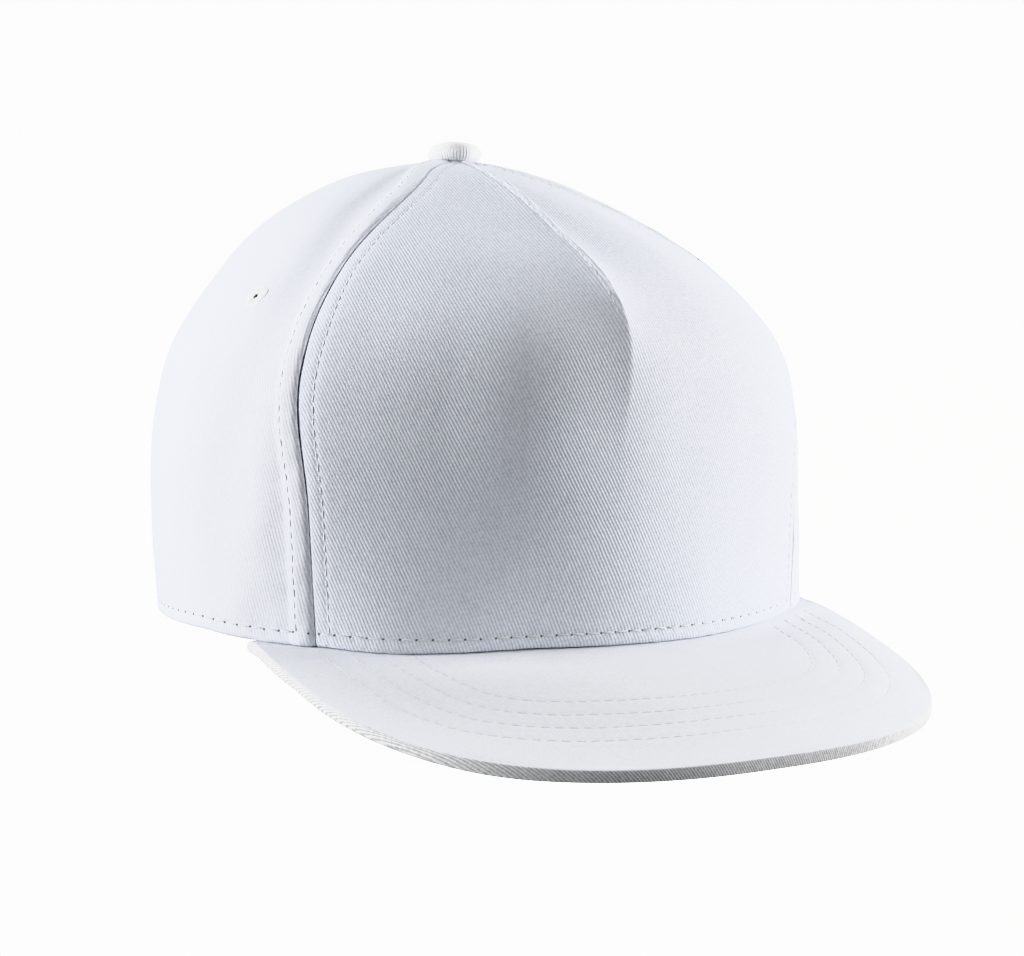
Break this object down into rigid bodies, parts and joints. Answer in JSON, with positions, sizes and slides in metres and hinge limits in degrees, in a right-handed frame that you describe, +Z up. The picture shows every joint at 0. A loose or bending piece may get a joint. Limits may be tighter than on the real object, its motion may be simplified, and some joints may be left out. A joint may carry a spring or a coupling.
{
  "type": "snapback cap",
  "caption": "Flat-peaked snapback cap in plain white cotton twill, with a darted front panel, soft dented side panels, a covered button and a fastened snap strap.",
  "frame": {"origin": "Centre of the bounding box on the floor that the cap stands on.", "axes": "+Z up, -Y the way the peak points, +X towards the wearer's left. The cap stands on the front edge of its peak and the back of its lower edge."},
  "size_m": [0.207, 0.2446, 0.1501],
  "materials": {
    "crown_twill": "plain bleached cotton twill, matt",
    "peak_twill": "the same twill stretched over a stiff board, matt",
    "button_twill": "the same twill gathered over a button, matt",
    "eyelet_thread": "close white buttonhole stitching",
    "sweatband_cloth": "plain white woven band, matt",
    "snap_plastic": "white moulded plastic, satin"
  },
  "bodies": {
    "root": {"front_panel": "crown_twill", "side_panel_right": "crown_twill", "side_panel_left": "crown_twill", "back_panel_right": "crown_twill", "back_panel_left": "crown_twill", "peak": "peak_twill", "button": "button_twill", "eyelet_side_right": "eyelet_thread", "eyelet_side_left": "eyelet_thread", "eyelet_back_right": "eyelet_thread", "eyelet_back_left": "eyelet_thread", "sweatband": "sweatband_cloth", "snap_closure": "snap_plastic"}
  },
  "joints": []
}
